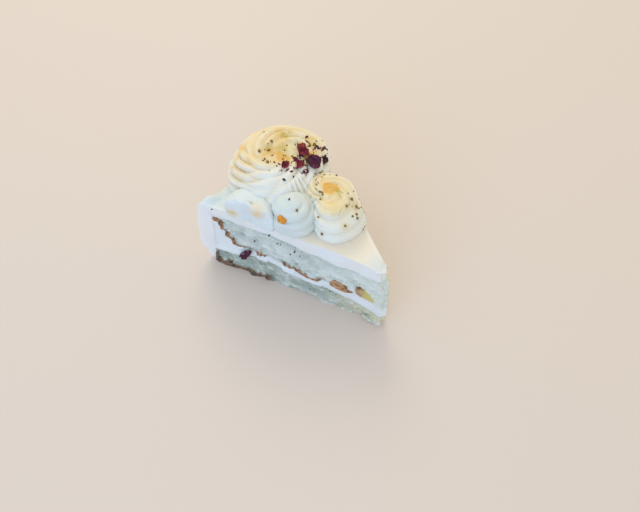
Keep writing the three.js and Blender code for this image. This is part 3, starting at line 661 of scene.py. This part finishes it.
# For each kind of crumb: size, number on a square millimetre where they lie thickest, seed, the places they
# gather round, as x, y, spread and strength, and single larger ones, as x and y on a rosette, or as distance
# from the point and height on the left cut.
CRUMB_KINDS = {
    "pistachio_crumbs": dict(
        size=(0.75, 0.55, 0.5), thick=0.06, seed=4,
        places=[(9, 67, 7, 1.0), (-2, 76, 7, 0.7), (20, 71, 4, 0.8), (4, 52, 4, 0.6), (9, 30, 4, 0.8)],
        picked={
            "rosette_rim": [
                (2.5, 86.9), (5, 95.5), (-6.5, 86.3), (-7.4, 81.1), (-7.6, 78.7), (-6.1, 69.9), (3.8, 72.8),
                (16, 72.3), (18.5, 71.3), (11.1, 67.4),
            ],
            "rosette_inner": [
                (0.4, 48.3), (0.9, 47.6), (0.2, 46), (1.9, 52.3), (-2, 45.2), (15.2, 51.6), (-8.2, 40.4),
                (4.5, 33.2), (9.1, 30.7), (4, 28.3), (5.7, 26.4), (6.7, 28), (9.8, 34.8), (-1.7, 27.3),
                (-11, 34.4),
            ],
            "rosette_cut_inner": [(-15, 48.9)],
        }),
    "petal_flecks": dict(
        size=(1.0, 0.7, 0.16), thick=0.22, seed=6,
        places=[(8, 66, 6, 1.0), (16, 68, 6, 0.8), (-1, 71, 5, 0.6), (10, 60, 5, 0.4)],
        picked={"rosette_rim": [(5.7, 66.6), (4.3, 70.1), (9.4, 62.5)]}),
    "spice_specks": dict(
        size=(0.36, 0.3, 0.28), thick=0.22, seed=8,
        places=[(12, 68, 8, 1.0), (-2, 77, 7, 0.6), (22, 71, 5, 0.7), (5, 52, 5, 0.35), (11, 32, 6, 0.4)],
        picked={
            "rosette_rim": [(25, 72.4), (23, 68.5)],
            "rosette_cut_inner": [(-13.9, 55)],
            "left cut": [
                (59.1, 46.8), (60.1, 46), (73.8, 39.3), (64.5, 51.6), (58.1, 46.3), (29.2, 14.3),
                (25.5, 13.6), (41.7, 7.3), (12, 38), (15, 34.5), (97.6, 56.5), (50, 44), (47, 41.5),
                (52.5, 40),
            ],
        }),
    "sponge_crumbs": dict(
        size=(1.3, 1.0, 0.9), thick=0.0, seed=9, places=[],
        picked={
            "left cut": [(-1.5, 2.4), (0.6, 2), (3, 1.8), (5.6, 2.1), (-3, 3.4), (7.5, 1.8), (-2.6, 5.2)],
        }),
}


STREWN_SCALE, SINGLE_SCALE = (0.5, 1.5), (0.9, 1.7)  # smallest and largest, against a kind's size
OUT_OF_CUT, OUT_OF_SKIN = 0.3, 0.15  # how far out the middle of a single crumb lies


def gathered(points, places):
    """How thickly crumbs lie at points of the top, from 0 to 1."""
    total = np.zeros(len(points))
    for x, y, spread, strength in places:
        away = np.hypot(points[:, 0] - x, points[:, 1] - y) / spread
        total = np.maximum(total, strength * np.exp(-(away**2)))
    return total * smoothstep(points[:, 2], CAKE_TOP - 0.8, CAKE_TOP + 0.4)


def crumb_marks(points):
    return {name: gathered(points, kind["places"]) for name, kind in CRUMB_KINDS.items()}


def node_in(tree, kind, sockets=None, **settings):
    """A node in a geometry tree, with its settings, and the values or links of its sockets."""
    node = tree.nodes.new(kind)
    for name, value in settings.items():
        setattr(node, name, value)
    for key, value in (sockets or {}).items():
        if isinstance(value, bpy.types.NodeSocket):
            tree.links.new(node.inputs[key], value)
        else:
            node.inputs[key].default_value = value
    return node


def picked_spots(name):
    """The places of the single crumbs of a kind, as bare points a little above the skin."""
    spots = []
    for carrier, places in CRUMB_KINDS[name]["picked"].items():
        for a, b in places:
            if carrier == "left cut":
                spots.append(place_on_face(a, b, OUT_OF_CUT))
                continue
            place, normal = skin_point(carrier, a, b)
            spots.append(place + OUT_OF_SKIN * normal)
    return mesh_piece(name + "_spots", np.array(spots), [])


def new_tree(name, inputs):
    """A geometry tree with named inputs, and the sockets that they come out of."""
    tree = bpy.data.node_groups.new(name, "GeometryNodeTree")
    tree.interface.new_socket("Geometry", in_out="INPUT", socket_type="NodeSocketGeometry")
    for label, kind in inputs.items():
        tree.interface.new_socket(label, in_out="INPUT", socket_type=f"NodeSocket{kind}")
    tree.interface.new_socket("Geometry", in_out="OUTPUT", socket_type="NodeSocketGeometry")
    return tree, node_in(tree, "NodeGroupInput").outputs


def joined(tree, shapes):
    join = node_in(tree, "GeometryNodeJoinGeometry")
    for shape in shapes:
        tree.links.new(join.inputs[0], shape)
    return join.outputs[0]


def random_in(tree, seed, low, high):
    """A random number for each point or instance."""
    sockets = {2: low, 3: high, "Seed": seed}
    return node_in(tree, "FunctionNodeRandomValue", sockets, data_type="FLOAT").outputs[1]


def uneven_lump(tree, size):
    """A ball of few faces, dented by noise and stretched to a size."""
    ball = node_in(tree, "GeometryNodeMeshIcoSphere", {"Radius": 1.0, "Subdivisions": 2})
    dents = node_in(tree, "ShaderNodeTexNoise", {"Scale": 1.1, "Detail": 2.0})
    centred = node_in(tree, "ShaderNodeVectorMath", {0: dents.outputs["Color"], 1: (0.5, 0.5, 0.5)},
                      operation="SUBTRACT")
    push = node_in(tree, "ShaderNodeVectorMath", {0: centred.outputs[0], "Scale": 1.5}, operation="SCALE")
    lump = node_in(tree, "GeometryNodeSetPosition", {"Geometry": ball.outputs[0], "Offset": push.outputs[0]})
    return node_in(tree, "GeometryNodeTransform", {"Geometry": lump.outputs[0], "Scale": size}).outputs[0]


def strewn_points(tree, name, carriers, given):
    """Points on the carriers, as thickly as their attribute of this name says."""
    shapes = [node_in(tree, "GeometryNodeObjectInfo", {"Object": c}).outputs["Geometry"] for c in carriers]
    mark = node_in(tree, "GeometryNodeInputNamedAttribute", {"Name": name}, data_type="FLOAT")
    thick = node_in(tree, "ShaderNodeMath", {0: mark.outputs[0], 1: given["Thickness"]}, operation="MULTIPLY")
    return node_in(tree, "GeometryNodeDistributePointsOnFaces", {
        "Mesh": joined(tree, shapes), "Density": thick.outputs[0], "Seed": given["Seed"]}).outputs


def crumb_tree(name, carriers, single):
    """Uneven lumps strewn on the carriers, and one larger lump on each single point."""
    inputs = {"Thickness": "Float", "Size": "Vector", "Seed": "Int", "Finish": "Material"}
    tree, given = new_tree(name, inputs)
    lump = uneven_lump(tree, given["Size"])
    points = strewn_points(tree, name, carriers, given)
    strewn = node_in(tree, "GeometryNodeInstanceOnPoints", {
        "Points": points["Points"], "Instance": lump, "Rotation": points["Rotation"],
        "Scale": random_in(tree, given["Seed"], *STREWN_SCALE)})
    lone = node_in(tree, "GeometryNodeObjectInfo", {"Object": single})
    dots = node_in(tree, "GeometryNodeMeshToPoints", {"Mesh": lone.outputs["Geometry"]})
    alone = node_in(tree, "GeometryNodeInstanceOnPoints", {
        "Points": dots.outputs[0], "Instance": lump, "Scale": random_in(tree, given["Seed"], *SINGLE_SCALE)})
    both = joined(tree, [strewn.outputs[0], alone.outputs[0]])
    spin = node_in(tree, "FunctionNodeRandomValue", {1: (0.5, 0.5, 6.28), "Seed": given["Seed"]},
                   data_type="FLOAT_VECTOR")
    swung = node_in(tree, "GeometryNodeRotateInstances", {"Instances": both, "Rotation": spin.outputs[0]})
    toned = node_in(tree, "GeometryNodeStoreNamedAttribute", {
        "Geometry": swung.outputs[0], "Name": "tone", "Value": random_in(tree, 3, 0.0, 1.0)},
        data_type="FLOAT", domain="INSTANCE")
    real = node_in(tree, "GeometryNodeRealizeInstances", {"Geometry": toned.outputs[0]})
    dressed = node_in(tree, "GeometryNodeSetMaterial", {
        "Geometry": real.outputs[0], "Material": given["Finish"]})
    node_in(tree, "NodeGroupOutput", {0: dressed.outputs[0]})
    return tree


def made_plain(piece):
    """The piece with what its modifiers make as its own mesh."""
    seen = piece.evaluated_get(bpy.context.evaluated_depsgraph_get())
    mesh = bpy.data.meshes.new_from_object(seen)
    mesh.name = piece.name
    piece.modifiers.clear()
    piece.data = mesh
    return piece


def scattered(name, carriers, finish):
    kind = CRUMB_KINDS[name]
    piece = bpy.data.objects.new(name, bpy.data.meshes.new(name))
    bpy.context.scene.collection.objects.link(piece)
    modifier = piece.modifiers.new("scatter", "NODES")
    single = picked_spots(name)
    modifier.node_group = crumb_tree(name, carriers, single)
    values = {
        "Thickness": kind["thick"] / MM**2,
        "Size": [side * MM for side in kind["size"]],
        "Seed": kind["seed"],
        "Finish": finish,
    }
    for item in modifier.node_group.interface.items_tree:
        if item.in_out == "INPUT" and item.name in values:
            modifier[item.identifier] = values[item.name]
    made_plain(piece)
    bpy.data.objects.remove(single)
    return piece


# ---------------------------------------------------------------- finishes

def rgb(red, green, blue):
    """A colour as seen on a screen, from 0 to 255, in the shader's own scale."""
    shares = [value / 255 for value in (red, green, blue)]
    return (*(s / 12.92 if s <= 0.04045 else ((s + 0.055) / 1.055) ** 2.4 for s in shares), 1.0)


class Value:
    """An output socket of a material. Arithmetic on it adds the Math nodes that work it out."""

    def __init__(self, paint, socket):
        self.paint = paint
        self.socket = socket

    def math(self, operation, *inputs):
        return self.paint.node("ShaderNodeMath", {"operation": operation}, dict(enumerate(inputs)))

    def __add__(self, other):
        return self.math("ADD", self, other)

    def __sub__(self, other):
        return self.math("SUBTRACT", self, other)

    def __rsub__(self, other):
        return self.math("SUBTRACT", other, self)

    def __mul__(self, other):
        return self.math("MULTIPLY", self, other)

    __radd__ = __add__
    __rmul__ = __mul__

    def ramp(self, low, high):
        """0 where the value is at low, 1 at high, and smooth between."""
        return self.paint.node("ShaderNodeMapRange", {"interpolation_type": "SMOOTHSTEP"},
                               {"Value": self, "From Min": low, "From Max": high})


class Paint:
    """A finish: a Principled shader whose constants are set here, with nodes for what changes over it."""

    def __init__(self, name, roughness=0.5, soft=0.0, soft_colour=(1.0, 0.85, 0.7), soft_reach=2.5):
        self.material = bpy.data.materials.new(name)
        self.material.use_nodes = True
        self.tree = self.material.node_tree
        self.shader = self.tree.nodes["Principled BSDF"]
        self.set("Roughness", roughness)
        self.set("Specular IOR Level", 0.35)
        self.set("Subsurface Weight", soft)
        self.set("Subsurface Radius", soft_colour)
        self.set("Subsurface Scale", soft_reach * MM)
        self.place = self.node("ShaderNodeTexCoord", output="Object")

    def set(self, name, value):
        self.feed(self.shader.inputs[name], value)
        return self

    def feed(self, socket, value):
        if isinstance(value, Value):
            self.tree.links.new(socket, value.socket)
        else:
            socket.default_value = value

    def node(self, kind, settings=None, sockets=None, output=0):
        made = self.tree.nodes.new(kind)
        for name, value in (settings or {}).items():
            setattr(made, name, value)
        for key, value in (sockets or {}).items():
            self.feed(made.inputs[key], value)
        return Value(self, made.outputs[output])

    def mark(self, name):
        return self.node("ShaderNodeAttribute", {"attribute_name": name}, output="Fac")

    def speckle(self, size, detail=3.0, roughness=0.55):
        """Noise whose bumps are about size millimetres wide."""
        return self.node("ShaderNodeTexNoise", {}, {
            "Vector": self.place, "Scale": 1 / (size * MM), "Detail": detail, "Roughness": roughness})

    def cells(self, size):
        """The distance to the middle of round cells about size millimetres wide."""
        return self.node("ShaderNodeTexVoronoi", {}, {"Vector": self.place, "Scale": 1 / (size * MM)})

    def mix(self, below, above, share):
        return self.node("ShaderNodeMix", {"data_type": "RGBA"}, {0: share, 6: below, 7: above}, output=2)

    def bump(self, height, depth):
        return self.node("ShaderNodeBump", {}, {"Height": height, "Distance": depth * MM})

    def done(self, colour, bump=None, roughness=None):
        self.set("Base Color", colour)
        if bump:
            self.set("Normal", bump)
        if roughness:
            self.set("Roughness", roughness)
        return self.material


def sponge_paint(name, pale, shade, tip, toasted, burnt):
    paint = Paint(name, roughness=0.85, soft=0.2, soft_reach=1.2)
    patch = paint.speckle(7, 2).ramp(0.38, 0.66)
    crumb = paint.speckle(0.9, 3, 0.65)
    colour = paint.mix(pale, shade, patch * 0.7 + crumb.ramp(0.45, 0.75) * 0.4)
    # Towards the point the crumb goes over into the tip colour, which on the lower sponge lifts its painted
    # shade.
    colour = paint.mix(colour, tip, paint.mark("t").ramp(44, 0) * 0.85)
    colour = paint.mix(colour, rgb(238, 241, 238), paint.mark("high").ramp(0.3, 1.3) * 0.6)
    # The pores are painted darker: painted shade in the hollows.
    colour = paint.mix(colour, rgb(138, 144, 135), paint.mark("high").ramp(-0.3, -1.5) * 0.55)
    fleck = paint.cells(2.4).ramp(0.12, 0.07) * paint.speckle(9, 1).ramp(0.52, 0.62)
    colour = paint.mix(colour, rgb(84, 84, 72), fleck * 0.75)
    brown = paint.mix(toasted, burnt, paint.speckle(1.7, 3).ramp(0.4, 0.64))
    crust = paint.mark("crust") * paint.speckle(1.3, 2).ramp(0.18, 0.4)
    colour = paint.mix(colour, brown, crust * 0.92)
    return paint.done(colour, paint.bump(crumb + paint.cells(0.8) * 0.5, 0.6))


def cream_paint(name, pale, shade):
    """Smooth cream. The flat top is painted a warm peach, painted warm light, and a milky bluish grey,
    painted shade, on its left near the wall and at the point.
    """
    paint = Paint(name, roughness=0.42, soft=0.35, soft_reach=3)
    sweep = paint.speckle(14, 2).ramp(0.35, 0.68)
    colour = paint.mix(pale, shade, sweep * 0.6)
    # The flat top's colour: painted warm light, and painted shade where marked shaded.
    top = paint.mix(rgb(250, 236, 219), rgb(222, 229, 230), paint.mark("shaded"))
    colour = paint.mix(colour, top, paint.mark("top"))
    return paint.done(colour, paint.bump(paint.speckle(1.3, 3), 0.12))


def piped_paint(name, white, warmth):
    """Piped cream: milky where it was cut, warm on top and down the flank away from the view, part saffron
    and part painted warm light, and yellow or olive in its grooves.
    """
    paint = Paint(name, roughness=0.4, soft=0.3, soft_reach=2.5)
    soak = paint.mark("saffron")
    cut = paint.mark("cut")
    veil = paint.speckle(8, 2).ramp(0.35, 0.65)
    # The warm tint is part saffron and part painted warm light, strongest on top and on the flank away from
    # the view.
    warm = (1 - cut * 0.9) * (0.25 + paint.mark("warm") * 0.75) * warmth * (0.65 + veil * 0.35)
    colour = paint.mix(white, rgb(244, 226, 187), warm)
    stain = soak * (0.45 + paint.speckle(2.5, 3) * 0.9)
    olive = paint.mark("olive")
    colour = paint.mix(colour, paint.mix(rgb(240, 186, 70), rgb(202, 186, 84), olive), stain * 0.9)
    colour = paint.mix(colour, rgb(226, 164, 52), soak.ramp(0.6, 1.0) * (1 - cut) * 0.5)
    streak = olive * paint.speckle(1.8, 2).ramp(0.46, 0.62) * (1 - cut)
    colour = paint.mix(colour, rgb(184, 152, 44), streak * 0.55)
    groove = paint.mark("groove").ramp(0.35, 0.85) * (1 - cut)
    deep = paint.mix(rgb(246, 210, 70), rgb(140, 116, 30), olive)
    colour = paint.mix(colour, deep, groove * (0.1 * warmth + soak * 0.75 + olive * 0.5))
    return paint.done(colour, paint.bump(paint.speckle(0.9, 3), 0.1))


def petal_paint(name, deep, bright, heel):
    paint = Paint(name, roughness=0.62, soft=0.1, soft_reach=0.6)
    vein = paint.node("ShaderNodeTexWave", {"bands_direction": "Y"}, {
        "Vector": paint.place, "Scale": 300.0, "Distortion": 6.0, "Detail": 3.0, "Detail Scale": 2.0})
    # Darker patches at random, painted as the shade of folds.
    fold_shade = paint.speckle(2.6, 1).ramp(0.56, 0.44)
    colour = paint.mix(deep, bright, paint.speckle(1.6, 3).ramp(0.42, 0.6) * 0.8 + vein * 0.2)
    colour = paint.mix(colour, heel, paint.mark("u").ramp(0.55, 1.0) * 0.85)
    colour = paint.mix(colour, deep, fold_shade * 0.6)
    return paint.done(colour, paint.bump(paint.speckle(0.9, 3), 0.5))


def soaked_paint(name, pale, brown, end, end_from):
    paint = Paint(name, roughness=0.55, soft=0.2, soft_reach=1.5)
    colour = paint.mix(pale, brown, paint.speckle(2.2, 3, 0.6).ramp(0.4, 0.68))
    colour = paint.mix(colour, end, paint.mark("end").ramp(end_from, end_from + 0.6))
    return paint.done(colour, paint.bump(paint.speckle(0.9, 3), 0.45))


def crumb_paint(name, one, other):
    paint = Paint(name, roughness=0.7)
    colour = paint.mix(one, other, paint.mark("tone"))
    return paint.done(colour, paint.bump(paint.speckle(0.4, 2), 0.15))


# ---------------------------------------------------------------- assembly

def dress(piece, finish, slot, replaced=None):
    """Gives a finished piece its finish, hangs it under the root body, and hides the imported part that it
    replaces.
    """
    piece.data.materials.clear()
    piece.data.materials.append(finish)
    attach(piece, "root")
    if replaced:
        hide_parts(replaced)


def build_layers():
    white = rgb(236, 238, 238)
    # The sponges' grey-green colours are partly painted shade; the lower sponge's crumb colours are darker
    # copies of the upper's, painted shade.
    finish = sponge_paint("upper sponge crumb", rgb(222, 226, 216), rgb(194, 204, 198), rgb(228, 231, 218),
                          rgb(188, 130, 78), rgb(104, 70, 46))
    dress(upper_sponge(), finish, "sponge", "upper_sponge")
    finish = sponge_paint("lower sponge crumb", rgb(190, 197, 184), rgb(160, 169, 158), rgb(228, 220, 186),
                          rgb(138, 98, 64), rgb(60, 44, 34))
    dress(lower_sponge(), finish, "sponge", "lower_sponge")
    dress(cream_filling(), cream_paint("filling cream", white, rgb(226, 230, 232)), "cream", "cream_filling")
    coat = cream_coat()
    dress(coat, cream_paint("coat cream", white, rgb(238, 236, 228)), "cream", "cream_coat")
    return coat


def build_rosettes():
    # The cut rosettes' whites are greyer, bluer copies of the whole rosettes' whites: painted shade.
    looks = {
        "rosette_rim": (rgb(234, 236, 236), 1.0), "rosette_inner": (rgb(236, 238, 234), 1.0),
        "rosette_cut_outer": (rgb(224, 232, 234), 0.1), "rosette_cut_inner": (rgb(218, 226, 226), 0.3),
    }
    made = []
    for name, (white, warmth) in looks.items():
        piece = rosette(name)
        dress(piece, piped_paint(name + " cream", white, warmth), "saffron_cream", name)
        made.append(piece)
    return made


def build_petals():
    plum = petal_paint("plum petal", rgb(58, 18, 40), rgb(112, 40, 74), rgb(80, 30, 50))
    rose = petal_paint("rose petal", rgb(82, 10, 34), rgb(168, 34, 66), rgb(196, 92, 56))
    looks = {
        "petal_large": rose, "petal_purple": plum, "petal_pink": rose, "petal_red": rose, "petal_edge": plum,
    }
    for seed, (name, finish) in enumerate(looks.items()):
        dress(petal_on_rosette(name, seed), finish, "petal", name)
    dress(petal_in_filling(), plum, "petal", "petal_in_filling")


def build_soaked_pieces():
    orange = soaked_paint("soaked piece", rgb(198, 156, 112), rgb(124, 78, 46), rgb(150, 104, 70),
                          end_from=0.1)
    yellow = soaked_paint("soaked end piece", rgb(196, 160, 124), rgb(150, 104, 76), rgb(216, 200, 120),
                          end_from=-0.5)
    nut = soaked_paint("nut", rgb(232, 164, 62), rgb(150, 72, 16), rgb(222, 148, 48), end_from=-0.1)
    dress(soaked_lump("filling_piece_long"), orange, "soaked_piece", "filling_piece_long")
    dress(soaked_lump("filling_piece_tip"), yellow, "soaked_piece", "filling_piece_tip")
    dress(soaked_lump("nut_piece"), nut, "nut", "nut_piece")


def build_crumbs(carriers):
    finishes = {
        "pistachio_crumbs": ("nut", crumb_paint("pistachio", rgb(190, 150, 60), rgb(132, 104, 46))),
        "petal_flecks": ("petal", crumb_paint("petal fleck", rgb(110, 22, 50), rgb(60, 24, 44))),
        "spice_specks": ("nut", crumb_paint("spice", rgb(92, 66, 40), rgb(48, 36, 34))),
        "sponge_crumbs": ("sponge", crumb_paint("loose sponge", rgb(232, 234, 226), rgb(212, 214, 198))),
    }
    for name, (slot, finish) in finishes.items():
        dress(scattered(name, carriers, finish), finish, slot)


# ---------------------------------------------------------------- floor, light and camera

def floor():
    bpy.ops.mesh.primitive_plane_add(size=3)
    ground = bpy.context.object
    ground.name = "floor"
    paint = Paint("floor", roughness=0.6)
    ground.data.materials.append(paint.done(rgb(230, 214, 204)))


def area_light(name, colour, watts, size, place, target=(0, 0, 0.03)):
    lamp = bpy.data.objects.new(name, bpy.data.lights.new(name, "AREA"))
    bpy.context.scene.collection.objects.link(lamp)
    lamp.data.color = colour
    lamp.data.energy = watts
    lamp.data.size = size
    lamp.location = place
    lamp.rotation_euler = (Vector(target) - Vector(place)).to_track_quat("-Z", "Y").to_euler()


def studio():
    floor()
    scene = bpy.context.scene
    scene.world = bpy.data.worlds.new("studio")
    scene.world.use_nodes = True
    sky = scene.world.node_tree.nodes["Background"].inputs
    sky["Color"].default_value = (1.0, 1.0, 0.89, 1)
    sky["Strength"].default_value = 0.77
    area_light("warm key", (1.0, 0.94, 0.8), 2.2, 0.5, (0.35, 0.55, 0.75))
    area_light("cool fill", (0.12, 0.43, 1.0), 4.8, 0.9, (-0.9, -0.35, 0.5))
    scene.view_settings.view_transform = "Standard"


CAMERA_PLACE = (-162.0, -123.6, 437.3)
CAMERA_LENS = 47.81
CAMERA_FROM_UPRIGHT, CAMERA_HEADING = math.radians(29), math.radians(-43.4)


def camera():
    """Looks down on the slice from the left of its point, as far above it as a seated person's eye."""
    viewer = bpy.data.objects.new("camera", bpy.data.cameras.new("camera"))
    bpy.context.scene.collection.objects.link(viewer)
    viewer.data.lens = CAMERA_LENS
    viewer.location = (np.array(CAMERA_PLACE) + APEX) * MM
    viewer.rotation_euler = (CAMERA_FROM_UPRIGHT, 0, CAMERA_HEADING)
    bpy.context.scene.camera = viewer


camera()
studio()
coat = build_layers()
rosettes = build_rosettes()
build_petals()
build_soaked_pieces()
build_crumbs([*rosettes, coat])

bpy.context.view_layer.update()
